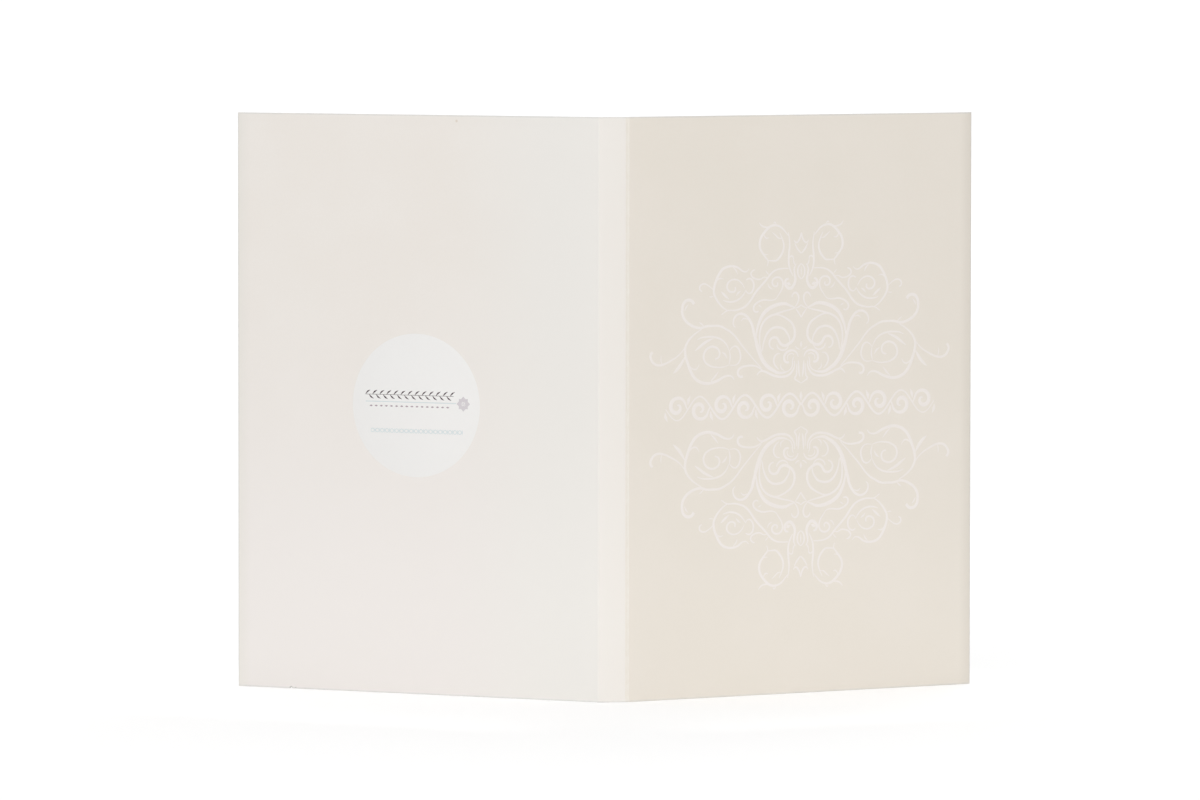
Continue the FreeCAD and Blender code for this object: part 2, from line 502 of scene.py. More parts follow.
TOP_RING = (
    stroke(0.3, 1.1, 0.3, (5.6, 61.5), (6.6, 62.6), (8.3, 64.3), (10.4, 65.2), (12.5, 65.2), (14.2, 64.3),
           (16, 62.6), (17.3, 60.8), (17.8, 58.8), (17.5, 56.8), (16.5, 55.3), (15.2, 53.7), (14.2, 52.4),
           (14.6, 50.6)),
    stroke(0.4, 0.9, 0.3, (14.2, 52.6), (12.3, 52.5), (10.6, 52.6), (9.2, 53.8), (7.9, 55.8), (7.5, 58),
           (8.1, 60.2), (9.3, 62.6)),
    stroke(0.2, 0.6, 0.2, (8.4, 60.5), (9.8, 60.7), (11, 61.7), (12.4, 62.8)),
    stroke(0.2, 0.7, 0.2, (11, 65.2), (13.8, 64.7), (16, 64.8), (17.3, 65.5), (18.1, 66.5)),
    stroke(0.2, 0.6, 0.2, (10.6, 65.4), (11.4, 66.4), (12, 66)),
    stroke(0.2, 0.6, 0.3, (16, 62.3), (15.6, 61.2), (14.9, 60.7), (14, 60.9)),
    stroke(0.2, 0.6, 0.2, (14.3, 54.8), (16, 55), (17.2, 56.5)),
)
TOP_STEM = (
    stroke(0.3, 0.9, 0.3, (5.6, 62.7), (5.1, 60), (5, 57.5), (5.3, 55), (5.4, 52.5), (5.2, 50.5),
           (4.3, 48.2), (3.5, 46.8)),
    stroke(0.3, 0.6, 0.4, (5.4, 52.6), (4.8, 53.8), (3.8, 54), (3.3, 53)),
    stroke(0.5, 0.8, 0.3, (0, 62.5), (0.9, 59.9), (2.2, 58.9), (3.2, 59.8)),
    stroke(0.3, 0.8, 0.5, (2.8, 58.6), (1.6, 56.6), (0.1, 55)),
    stroke(0.3, 1.3, 0.7, (2.2, 51.2), (3, 49.5), (2.8, 47.5), (2.5, 45.5), (3.2, 43.6), (4.6, 42.4),
           (6.2, 43), (6.9, 44.3), (6.4, 45.6), (5.4, 45.9)),
    stroke(0.4, 0.7, 0.4, (0, 51.3), (1.2, 50), (1.5, 48.3), (1, 46.6), (0, 45.7)),
    stroke(0.3, 0.6, 0.3, (3.4, 53), (3.1, 51.6), (2.4, 50.6)),
    bud((5.4, 44), 2.2, 1.5, 20),
)
UPPER_VINE = (
    stroke(0.4, 0.9, 0.4, (5.5, 49.6), (8, 49.6), (10.2, 49.3), (12.5, 48.2), (15, 45.6), (17.2, 43.5),
           (19.5, 41.2), (22.3, 37.6), (24, 36.2), (26, 35.4), (28.5, 34.9), (31.5, 34.9), (34, 33.5)),
    stroke(0.3, 0.5, 0.2, (14, 47.6), (14.6, 48.2), (15.2, 48.9)),
    stroke(0.3, 0.7, 0.5, (14.5, 46.5), (16, 46.6), (17.5, 45.9), (19.5, 46.1), (21, 46.9), (21.5, 48),
           (20.8, 49), (19.8, 49.4)),
    stroke(0.3, 0.8, 0.5, (10.5, 39), (9.8, 40), (8.6, 41.6), (8, 43), (7.9, 44.7), (8.7, 46), (10.3, 46.5),
           (11.9, 45.9), (12.4, 44.6), (11.8, 43.5), (10.8, 43.2), (10.1, 43.8), (10.3, 44.6)),
    stroke(0.2, 0.6, 0.2, (12.3, 42.2), (13.6, 42.9), (14.4, 44.3)),
    stroke(0.3, 0.8, 0.5, (10.4, 39), (11.5, 38.4), (13.5, 38.2), (16, 38.4), (17.8, 38), (19.3, 37.2),
           (20.3, 36), (20.2, 34.7), (19.2, 34.1), (18.2, 34.4)),
    bud((17.6, 36.2), 1.8, 0.6, 30),
)
UPPER_SCROLL = (
    stroke(0.3, 1.1, 0.4, (22.3, 49.8), (23.5, 48.8), (25, 49), (27, 50.3), (29.5, 50.9), (31.5, 50.7),
           (33.5, 49.9), (35, 48.2), (36.4, 45.6), (37.2, 43), (37.2, 41.3), (36.3, 39.3), (34.8, 37.4),
           (33, 35.8), (31.5, 35)),
    stroke(0.3, 0.6, 0.2, (29, 50.4), (27.8, 49.2), (27.2, 47.9)),
    stroke(0.3, 0.6, 0.2, (36.3, 45.4), (34.8, 46.6), (33.2, 46.3)),
    stroke(0.3, 0.8, 0.5, (23.8, 42.2), (22.8, 41), (21.7, 41), (20.7, 42), (20.3, 43.8), (20.9, 45.6),
           (22.2, 46.3), (23.6, 45.8)),
    stroke(0.3, 0.8, 0.3, (23.8, 41.8), (25, 40.2), (27, 38.7), (29.5, 38), (31.5, 38.1), (33.3, 38.6)),
    stroke(0.2, 1, 0.2, (30.8, 39), (32, 39.9), (33.3, 41), (34.3, 41.8)),
    stroke(0.3, 0.7, 0.5, (37.6, 42.6), (39.5, 44), (41, 44.7), (42.3, 44.6), (43.2, 43.8), (43.2, 42.7),
           (42.3, 42)),
    stroke(0.3, 0.5, 0.2, (37.5, 40.2), (38.4, 40), (39.3, 40.1)),
    stroke(0.3, 0.8, 0.6, (24.2, 42.8), (25.6, 44.8), (27.8, 46), (30.2, 45.7), (31.6, 44.2), (31.3, 42.4),
           (29.7, 41.5), (28.2, 42.1), (28.2, 43.4)),
    stroke(0.2, 0.8, 0.2, (25.8, 41.9), (26.8, 41.3), (27.8, 40.2)),
)
SIDE_VINE = (
    stroke(0.4, 1, 1.3, (17, 13.8), (19, 15.7), (21, 17.7), (23.2, 20), (25.3, 22.2), (27.5, 24.8),
           (29.6, 26.8), (31.6, 28), (34.9, 29.4), (37.5, 29.5), (40, 29.5), (43, 28.9), (45, 29.2),
           (47.5, 30.3), (49.3, 31.7), (50.5, 33.8), (50.6, 36), (50, 38), (48.5, 39), (46.8, 38.8),
           (45.6, 37.6)),
    stroke(0.3, 0.6, 0.2, (41.5, 29.4), (42.6, 30.4), (43.5, 31)),
    stroke(0.3, 0.6, 0.2, (49.6, 35.3), (49, 36.5), (48.2, 37.4)),
)
SIDE_SCROLL = (
    stroke(0.4, 1.3, 0.4, (42.5, 28.4), (45, 27), (47.2, 25.3), (48.6, 23.6), (49.4, 21.5), (49.3, 19.5),
           (48.5, 16.8), (46.5, 12.4), (44.5, 10.2), (42, 9.1), (39.5, 8.8), (37, 9.3), (35.2, 9.9),
           (33, 11), (31.2, 11.4), (29.5, 11), (28.6, 9.9)),
    stroke(0.3, 0.8, 0.2, (38.5, 9.6), (36.8, 11.2), (35.3, 13)),
    stroke(0.3, 0.7, 0.2, (47.6, 15.4), (46, 14.1), (44.6, 14.2), (43.4, 15.8)),
    stroke(0.3, 0.8, 0.3, (30.8, 20.5), (31.8, 22.5), (33.5, 24.2), (35.5, 25.1), (38, 25.6), (40.5, 25.6),
           (42.5, 25.4), (44.3, 24.7)),
    stroke(0.3, 1.2, 0.3, (37.5, 25), (39.5, 24.3), (41.5, 23.3), (43.5, 21.9), (45.3, 20.7)),
    stroke(0.3, 0.8, 0.3, (30.7, 20.3), (29.5, 21.5), (28.2, 22), (27, 21.4), (26.1, 19.6), (25.9, 17.8),
           (26.4, 16.4), (27.6, 15.3), (30.5, 15.2)),
    stroke(0.3, 0.7, 0.3, (30.6, 20.4), (30.3, 18), (30.8, 15.5)),
    stroke(0.3, 0.9, 0.6, (30.8, 15.3), (33.2, 14.6), (36.4, 14.6), (39.4, 15.4), (41.4, 17.4), (41.2, 20),
           (39.2, 21.8), (36.6, 21.8), (34.9, 20.2), (35.2, 18.2), (36.8, 17.5)),
    stroke(0.2, 0.9, 0.2, (31.6, 17.6), (32.6, 19.2), (33.9, 20)),
)
OUTER_FLOURISH = (
    stroke(0.3, 0.9, 1.1, (49.6, 22), (51, 20.3), (53, 18.7), (55.5, 17.4), (58, 16.3), (60.5, 15.9),
           (62.3, 16.4), (63.6, 17.8), (64, 19.4), (63.2, 20.7)),
    stroke(0.3, 0.5, 0.2, (59.3, 16.4), (59.6, 17.8), (59.5, 19.3)),
    stroke(0.2, 1.4, 0.2, (49.3, 19), (50.5, 17), (51.8, 15.2), (53.3, 13.7), (54.5, 12.8)),
)
LYRE = (
    stroke(0.3, 1.7, 1.4, (5.2, 12.5), (7, 12), (9.9, 11.9), (12.3, 13), (14.2, 14.2), (15.8, 15.8),
           (17.2, 18), (18.3, 20.5), (19, 22.5), (19.6, 24.8)),
    stroke(1.4, 1, 0.4, (19.6, 24.8), (20.3, 27), (21, 29.5), (22.2, 31.5), (24, 33.2), (26.3, 33.6),
           (28.2, 32.6), (29, 31), (28.8, 29.4), (28.1, 28.8)),
    stroke(0.3, 0.6, 0.2, (23, 31.6), (24.6, 31.9), (25.7, 31)),
    stroke(0.5, 1.6, 0.4, (19.2, 25), (18.8, 28), (17.9, 30.5), (16.5, 33), (14.5, 34.8), (12, 36),
           (9.5, 36.7), (6.7, 36.8), (4.5, 36), (2.6, 35.3)),
    stroke(0.2, 0.5, 0.2, (6.6, 37.4), (6, 36.9), (5.2, 36.6)),
    stroke(0.4, 0.9, 0.4, (16.8, 19.5), (17.6, 22), (17.8, 25), (17.5, 27.5), (16.7, 29.5), (15.2, 31.3),
           (13, 32.6), (10.5, 33.3), (7.5, 34.1), (5, 34.6), (2.8, 35.2)),
    stroke(0.4, 1.2, 0.5, (12.5, 32.7), (10, 32.9), (8, 32.3), (6, 31.3), (4.2, 30), (3, 28), (2.7, 26),
           (3.1, 24.2), (4.1, 23), (5.4, 22.2), (6.8, 21.7), (8.2, 22), (9.3, 23), (10, 24.2), (11, 24.7),
           (12.5, 24.5), (13.5, 23.3), (13.5, 21.8), (12.6, 20.8), (11.7, 20.5)),
    stroke(0.4, 1, 0.3, (16.5, 20), (16.3, 22), (15.7, 24), (14.7, 26), (13.3, 27.5), (11.5, 28.3),
           (9.5, 28.3), (7.3, 27.6), (6.2, 26.4), (5.3, 25), (4.9, 23.5), (5, 22.2)),
    stroke(0.3, 0.7, 0.3, (5.2, 21.8), (6.2, 20.5), (7.7, 20), (9.2, 20.4), (10.2, 21.4), (10.4, 22.3)),
)
LOWER_CORE = (
    stroke(0.4, 1, 0.4, (2.8, 16), (2.9, 14), (3.8, 12.3), (5.5, 10.9), (8, 10.4), (10.5, 10.6), (13, 11.4),
           (15, 12.3), (17, 12.7), (18.3, 12), (18.9, 11.2)),
    stroke(0.3, 0.6, 0.3, (3.6, 16.2), (3.7, 14.6), (4.4, 13.2), (5.6, 12.4)),
    stroke(0.4, 0.9, 1, (16, 12.7), (17.5, 13.6), (19, 14.4), (21, 14.8), (23.5, 14.7), (25.6, 14.2),
           (26.8, 13.2), (27, 12), (26.3, 11), (24.9, 10.9)),
    stroke(0.4, 1, 0.8, (1.2, 17.5), (1.8, 18.8), (3.3, 19.8), (5, 19.7), (6.6, 18.8), (7.3, 17.2),
           (6.9, 16), (5.9, 15.5), (5.2, 15.7)),
    stroke(0.3, 0.5, 0.3, (3, 18.3), (4, 18.7), (5.2, 18.4), (5.9, 17.5), (5.8, 16.5)),
    stroke(0.2, 0.5, 0.2, (3.2, 17.5), (3.6, 16.5), (3.9, 15.3)),
    stroke(0.3, 0.8, 0.3, (8.9, 18.9), (10.3, 18.7), (11.4, 17.6), (11.7, 16.2), (11.2, 14.8), (10.3, 13.7),
           (9.5, 13.1)),
    stroke(0.3, 0.6, 0.2, (7.2, 12.6), (8.6, 13.6), (8.6, 15.2)),
    stroke(0.3, 0.9, 0.3, (1.2, 16.2), (1.1, 14.5), (0.9, 12), (0.5, 10.2)),
    stroke(0.3, 0.7, 0.3, (1.9, 15), (1.9, 12), (2.1, 10.7), (2.7, 9.7), (1.4, 8.7), (0, 7.9)),
    stroke(0.3, 0.6, 0.3, (0.6, 20.2), (1.6, 20.5), (2.5, 21.3)),
)
CENTRE_FLEUR = (
    stroke(0.3, 0.8, 0.4, (2.9, 35.4), (1.7, 36.8), (1.1, 38.4), (1.3, 39.9), (2.4, 40.8), (3.6, 40.2),
           (4, 39.2)),
    stroke(0.4, 0.6, 0.3, (0, 36.3), (1, 35.6), (2.5, 35.1)),
    stroke(0.3, 0.7, 0.5, (2.3, 34.9), (1.3, 33.7), (0, 31.8)),
)
QUARTER = (TOP_RING + TOP_STEM + UPPER_VINE + UPPER_SCROLL + SIDE_VINE + SIDE_SCROLL
           + OUTER_FLOURISH + LYRE + LOWER_CORE + CENTRE_FLEUR)
QUARTER_AXIS = (bud((0, 22), 2.4, 1.1, 90), bud((0, 48.6), 3.4, 0.6, 90))


# The band between the halves: a running scroll, six half waves to each side of the centre.

HALF_WAVE = 9.6
HALF_WAVES = 6
STEM_SWING = 4.2
STEM_POINTS_PER_WAVE = 6
VOLUTE_START = 3.9
VOLUTE_END = 0.7
VOLUTE_TURN = 450
VOLUTE_POINTS = 11
VOLUTE_DROP = 0.6
BAND_AXIS = (bud((0, 3.2), 3.6, 1.5, 90),)


def alternate(index):
    """1 for even numbers and -1 for odd ones."""
    return 1 if index % 2 == 0 else -1


def wave_stem():
    points = []
    for index in range(HALF_WAVES * STEM_POINTS_PER_WAVE + 1):
        x = index * HALF_WAVE / STEM_POINTS_PER_WAVE
        points.append((x, STEM_SWING * math.sin(math.pi * x / HALF_WAVE)))
    return stroke(0.9, 0.9, 0.4, *points)


def volute(wave):
    """A curl that leaves the stem at a crossing and winds in below the wave's crest."""
    side = alternate(wave)
    centre = Vector(((wave + 0.5) * HALF_WAVE, -VOLUTE_DROP * side))
    points = [(wave * HALF_WAVE + 0.4, 0.5 * side)]
    for index in range(VOLUTE_POINTS):
        share = index / (VOLUTE_POINTS - 1)
        radius = VOLUTE_START + (VOLUTE_END - VOLUTE_START) * share
        points.append(centre + ahead(side * (180 + VOLUTE_TURN * share)) * radius)
    return stroke(0.3, 1.7, 0.4, *points)


def crossing_leaf(wave):
    """A leaf that stands between the stem and the next curl."""
    side = -alternate(wave)
    x = wave * HALF_WAVE
    return stroke(0.3, 1.4, 0.15, (x + 0.2, 1.2 * side), (x, 2.9 * side), (x - 0.8, 4.6 * side))


def running_scroll():
    strokes = [wave_stem()]
    strokes += [volute(wave) for wave in range(HALF_WAVES)]
    strokes += [crossing_leaf(wave) for wave in range(1, HALF_WAVES + 1)]
    return strokes


# The label on the back cover: a white disc with a garland, a rule and rows of small ornament.

LABEL_RADIUS = 26
LABEL_HEIGHT = 0.02
GARLAND = (-20.8, 15.3)
GARLAND_HEIGHT = 3.65
GARLAND_STEP = 1.45
LEAF_BEND = (0.85, 0.95)
LEAF_TIP = (1.9, 1.55)
RULE = (-20.7, 16.3)
RULE_HEIGHT = 1.1
RULE_WIDTH = 0.42
DOTS = (-18.5, 12.9)
DOTS_HEIGHT = -0.45
DOTS_STEP = 2.1
DOT_LENGTH = 1.2
DOT_WIDTH = 0.7
CHAIN = (-17.9, 18.8)
CHAIN_HEIGHT = -9.35
CHAIN_STEP = 2.0
RING_RADIUS = 0.66
RING_WIDTH = 0.34
LINK_LENGTH = 1.8
LINK_WIDTH = 0.5
ROSETTE_CENTRE = (19.25, 1.0)
ROSETTE_RING = 0.3

# The rosette's petals, as (lean in degrees, inner end, outer end, width).
PETALS = ((0, 0.5, 2.7, 2.4), (45, 0.6, 2.565, 1.9))


def even_row(ends, step):
    """Places from end to end of a row, evenly spaced and about one step apart."""
    start, end = ends
    gaps = round((end - start) / step)
    return [start + (end - start) * gap / gaps for gap in range(gaps + 1)]


def level_line(ends, height, end_width, middle_width):
    """A straight stroke along a row."""
    start, end = ends
    points = ((start, height), ((start + end) / 2, height), (end, height))
    return stroke(end_width, middle_width, end_width, *points)


def garland():
    """An olive branch: a thin stem with leaves on alternate sides."""
    strokes = [level_line(GARLAND, GARLAND_HEIGHT, 0.15, 0.17)]
    for index, x in enumerate(even_row(GARLAND, GARLAND_STEP)[:-1]):
        side = alternate(index)
        leaf = [(x + along, GARLAND_HEIGHT + out * side) for along, out in ((0, 0), LEAF_BEND, LEAF_TIP)]
        strokes.append(stroke(0.15, 0.62, TUCKED_END, *leaf))
    return strokes


def rule():
    return [level_line(RULE, RULE_HEIGHT, RULE_WIDTH, RULE_WIDTH)]


def dots():
    return [bud((x, DOTS_HEIGHT), DOT_LENGTH, DOT_WIDTH) for x in even_row(DOTS, DOTS_STEP)]


def chain():
    """Rings with an upright link between each two."""
    strokes = []
    for index, x in enumerate(even_row(CHAIN, CHAIN_STEP / 2)):
        if index % 2 == 0:
            strokes.append(ring((x, CHAIN_HEIGHT), RING_RADIUS, RING_WIDTH))
        else:
            strokes.append(bud((x, CHAIN_HEIGHT), LINK_LENGTH, LINK_WIDTH, 90))
    return strokes


def rosette():
    """Four broad petals with four narrower ones between them, round a ring."""
    strokes = [ring(ROSETTE_CENTRE, ROSETTE_RING, ROSETTE_RING)]
    for quarter in range(4):
        for lean, inner, outer, width in PETALS:
            angle = 90 * quarter + lean
            middle = Vector(ROSETTE_CENTRE) + ahead(angle) * (inner + outer) / 2
            strokes.append(bud(middle, outer - inner, width, angle))
    return strokes


def label_disc():
    """The disc's flat face, with a dulled rim and its foot in the board."""
    bpy.ops.object.select_all(action="DESELECT")
    bpy.ops.mesh.primitive_cylinder_add(vertices=192, radius=LABEL_RADIUS, depth=2 * LABEL_HEIGHT)
    disc = new_piece("label_disc")
    dull_edges(disc, LABEL_HEIGHT / 2)
    return disc


# Finishes

EDGE_WHITE = display(232, 230, 225)
EDGE_GREY = display(216, 214, 209)
# RIM_GREY greys the rim: partly dirt, partly painted edge shade.
RIM_GREY = display(206, 209, 208)
IVORY = display(238, 233, 227)
# The spine's ivory is a shade lighter than the back's as painted light: the spine faces the light more
# squarely.
LIT_SPINE_IVORY = display(239, 234, 228)
IVORY_FOOT = display(237, 232, 228)
IVORY_FOLD = display(237, 234, 229)
IVORY_CLOUD = display(236, 230, 223)
# The worn ivory lightens the back fold: partly rubbing, partly a painted highlight along the crease.
IVORY_WORN_AND_HIGHLIGHT = display(239, 235, 229)
# The darker ivory of the fore edge is painted shade, where the cover curls away.
IVORY_SHADED = display(234, 230, 223)
BEIGE = display(237, 230, 220)
BEIGE_CLOUD = display(235, 228, 217)
# The worn beige lightens the front fold: partly rubbing, partly a painted highlight along the crease.
BEIGE_WORN_AND_HIGHLIGHT = display(241, 237, 230)
# The darker beige of the fore edge is painted shade, where the cover curls away.
BEIGE_SHADED = display(229, 222, 211)
INSIDE = display(243, 242, 239)
INSIDE_CLOUD = display(241, 240, 237)
SPECK_BROWN = display(225, 215, 203)
BRUISE_GREY = display(196, 195, 190)
WHITE_INK = display(244, 238, 234)
WHITE_INK_THIN = display(241, 234, 227)
LABEL_WHITE = display(240, 239, 237)
LABEL_CLOUD = display(238, 236, 234)
DARK_INK = display(60, 42, 50)
DARK_INK_THIN = display(90, 70, 78)
TEAL_INK = display(212, 221, 222)
TEAL_INK_THIN = display(220, 226, 227)
MAUVE_INK = display(158, 140, 148)
MAUVE_INK_THIN = display(186, 172, 178)
PALE_MAUVE_INK = display(209, 203, 207)
PALE_MAUVE_INK_THIN = display(214, 209, 212)

# Shares of the clouds and the fibres in the stock's clouding, and of the coarse tooth.
CLOUD_SHARE = 0.6
FIBRE_SHARE = 0.4
COARSE_TOOTH = 0.8

# Surfaces, as (specular level, depth of the tooth, strength of the tooth).
COATED = (0.35, 0.00002, 0.35)
BARE_CORE = (0.2, 0.00003, 0.5)
INKED = (0.4, 0.00001, 0.25)

# Roughness, from and to, and how strongly the clouding shows.
FACE_ROUGHNESS = (0.46, 0.6)
EDGE_ROUGHNESS = (0.75, 0.9)
FACE_CLOUDING = 0.8
EDGE_CLOUDING = 0.9
INK_THINNESS = 0.5

# How far from its middle each fold is lightened, fully and at all, partly by rubbing and partly as a
# painted highlight of the crease; and the same for the sheet's rim, which is greyed partly by dirt and
# partly as painted edge shade.
BACK_FOLD_RUB_AND_HIGHLIGHT = (BACK_SCORE / 2, 0.0007)
FRONT_FOLD_RUB_AND_HIGHLIGHT = (0.0006, 0.00085)
RIM_RUB_AND_SHADE = (0.0001, 0.0008)

# How strongly the marks show: as tone on the folds (rubbing and painted highlight) and on the rim
# (dirt and painted shade), and as roughness on the folds.
FOLD_WEAR_AND_HIGHLIGHT = 0.6
RIM_WEAR_AND_SHADE = 0.5
FOLD_ROUGHENING = 0.12

# How far in from the fore edges the covers are darkened by painted shade, where they curl away.
FORE_EDGE_SHADE_WIDTH = 0.0055

# Where on the back cover the ivory print starts to turn cooler, and where it is fully so:
# across it towards the fold, and down it towards the foot.
COOL_START = 0.08
COOL_FULL = 0.135
COOL_TOP = 0.17
COOL_FOOT = 0.03


def add_node(tree, kind, **settings):
    node = tree.nodes.new(kind)
    for setting, value in settings.items():
        setattr(node, setting, value)
    return node


def math_node(tree, operation, first, second=None, clamp=False):
    """A Math node whose inputs are each a number or another node's output."""
    node = add_node(tree, "ShaderNodeMath", operation=operation, use_clamp=clamp)
    for socket, value in zip(node.inputs, (first, second)):
        feed(tree, socket, value)
    return node.outputs[0]


def feed(tree, socket, value):
    if isinstance(value, bpy.types.NodeSocket):
        tree.links.new(value, socket)
    elif value is not None:
        socket.default_value = value


def noise(tree, vector, scale, detail=2.0, roughness=0.5):
    node = add_node(tree, "ShaderNodeTexNoise")
    feed(tree, node.inputs["Vector"], vector)
    node.inputs["Scale"].default_value = scale
    node.inputs["Detail"].default_value = detail
    node.inputs["Roughness"].default_value = roughness
    return node.outputs["Fac"]


def map_range(tree, value, low, high, to_low, to_high, smooth=True):
    node = add_node(tree, "ShaderNodeMapRange")
    if smooth:
        node.interpolation_type = "SMOOTHSTEP"
    feed(tree, node.inputs["Value"], value)
    for label, number in (("From Min", low), ("From Max", high), ("To Min", to_low), ("To Max", to_high)):
        node.inputs[label].default_value = number
    return node.outputs["Result"]


def mix_colour(tree, amount, first, second):
    node = add_node(tree, "ShaderNodeMix", data_type="RGBA")
    feed(tree, node.inputs["Factor"], amount)
    feed(tree, node.inputs[6], first)
    feed(tree, node.inputs[7], second)
    return node.outputs[2]


def new_group(name, inputs, outputs):
    """An empty node group with named inputs and outputs, as (label, kind of socket)."""
    group = bpy.data.node_groups.new(name, "ShaderNodeTree")
    for label, kind in inputs:
        group.interface.new_socket(label, in_out="INPUT", socket_type="NodeSocket" + kind)
    for label, kind in outputs:
        group.interface.new_socket(label, in_out="OUTPUT", socket_type="NodeSocket" + kind)
    return group, group.nodes.new("NodeGroupInput"), group.nodes.new("NodeGroupOutput")


def board_grain_group():
    """Faint clouding of the stock, and the fine tooth of its coating."""
    group, given, made = new_group(
        "board_grain",
        (("Place", "Vector"), ("Colour", "Color"), ("Cloud Colour", "Color"), ("Clouding", "Float")),
        (("Colour", "Color"), ("Roughness", "Float"), ("Tooth", "Float")))
    place = given.outputs["Place"]
    clouds = map_range(group, noise(group, place, 28, 3), 0.35, 0.65, 0, 1)
    fibres = map_range(group, noise(group, place, 900, 4, 0.6), 0.3, 0.7, 0, 1)
    shade = math_node(group, "ADD", math_node(group, "MULTIPLY", clouds, CLOUD_SHARE),
                      math_node(group, "MULTIPLY", fibres, FIBRE_SHARE))
    amount = math_node(group, "MULTIPLY", shade, given.outputs["Clouding"], clamp=True)
    colour = mix_colour(group, amount, given.outputs["Colour"], given.outputs["Cloud Colour"])
    group.links.new(colour, made.inputs["Colour"])
    rough = map_range(group, noise(group, place, 420, 3), 0.3, 0.7, *FACE_ROUGHNESS)
    group.links.new(rough, made.inputs["Roughness"])
    tooth = math_node(group, "ADD", noise(group, place, 1400, 3, 0.6),
                      math_node(group, "MULTIPLY", noise(group, place, 260, 2), COARSE_TOOTH))
    group.links.new(tooth, made.inputs["Tooth"])
    return group


def near(tree, value, centre, full, none, smooth=True):
    """1 within full of the centre, fading to 0 at none."""
    distance = math_node(tree, "ABSOLUTE", math_node(tree, "SUBTRACT", value, centre))
    return map_range(tree, distance, full, none, 1, 0, smooth)


def near_either(tree, value, centres, full, none, smooth=True):
    """The same for the nearer of two centres."""
    first, second = [near(tree, value, centre, full, none, smooth) for centre in centres]
    return math_node(tree, "MAXIMUM", first, second)


def wear_and_light_group():
    """Masks on the flat sheet: folds lightened by rubbing and a painted highlight, edges greyed by
    dirt and painted shade, fore edges darkened by painted shade, and the print's drift of tone
    towards the back fold and towards the foot."""
    group, given, made = new_group(
        "wear_and_painted_light", (("Place", "Vector"),),
        (("Folds", "Float"), ("Edges", "Float"), ("Fore Edge Shade", "Float"),
         ("Towards Fold", "Float"), ("Towards Foot", "Float")))
    split = add_node(group, "ShaderNodeSeparateXYZ")
    group.links.new(given.outputs["Place"], split.inputs[0])
    across, up = split.outputs["X"], split.outputs["Y"]
    broken = map_range(group, noise(group, given.outputs["Place"], 240, 4, 0.65), 0.35, 0.7, 0.25, 1)
    # Folds: partly rubbing, partly a painted highlight along the crease.
    folds = math_node(group, "MAXIMUM", near(group, across, BACK_FOLD, *BACK_FOLD_RUB_AND_HIGHLIGHT),
                      near(group, across, FRONT_FOLD, *FRONT_FOLD_RUB_AND_HIGHLIGHT))
    group.links.new(math_node(group, "MULTIPLY", folds, broken), made.inputs["Folds"])
    # Rim: partly dirt, partly painted edge shade.
    rim = math_node(group, "MAXIMUM", near_either(group, up, (0, COVER_HEIGHT), *RIM_RUB_AND_SHADE),
                    near_either(group, across, (0, SHEET_WIDTH), *RIM_RUB_AND_SHADE))
    rim = math_node(group, "MULTIPLY", rim, math_node(group, "SQRT", broken))
    group.links.new(rim, made.inputs["Edges"])
    group.links.new(map_range(group, across, COOL_START, COOL_FULL, 0, 1), made.inputs["Towards Fold"])
    group.links.new(map_range(group, up, COOL_FOOT, COOL_TOP, 1, 0), made.inputs["Towards Foot"])
    # Fore edges: painted shade where the covers curl away.
    fore_edge_shade = near_either(group, across, (0, SHEET_WIDTH), 0, FORE_EDGE_SHADE_WIDTH, smooth=False)
    group.links.new(fore_edge_shade, made.inputs["Fore Edge Shade"])
    return group


def spot_group():
    """A soft spot: 1 at its centre, fading to 0 one size away."""
    group, given, made = new_group(
        "spot", (("Place", "Vector"), ("Centre", "Vector"), ("Size", "Float")),
        (("Spot", "Float"),))
    gap = add_node(group, "ShaderNodeVectorMath", operation="DISTANCE")
    group.links.new(given.outputs["Place"], gap.inputs[0])
    group.links.new(given.outputs["Centre"], gap.inputs[1])
    share = math_node(group, "DIVIDE", gap.outputs["Value"], given.outputs["Size"])
    group.links.new(map_range(group, share, 0.3, 1, 1, 0), made.inputs["Spot"])
    return group


def use_group(tree, group, **values):
    """Place a node group and feed its inputs by name, with _ for a space."""
    node = add_node(tree, "ShaderNodeGroup", node_tree=group)
    for label, value in values.items():
        feed(tree, node.inputs[label.replace("_", " ")], value)
    return node.outputs


def new_material(name, specular, tooth_depth, tooth_strength):
    """A material with a Principled shader and a Bump node that takes the surface's tooth."""
    material = bpy.data.materials.new(name)
    material.use_nodes = True
    tree = material.node_tree
    shader = tree.nodes["Principled BSDF"]
    shader.inputs["Specular IOR Level"].default_value = specular
    bump = add_node(tree, "ShaderNodeBump")
    bump.inputs["Strength"].default_value = tooth_strength
    bump.inputs["Distance"].default_value = tooth_depth
    tree.links.new(bump.outputs["Normal"], shader.inputs["Normal"])
    return material, tree, shader, bump


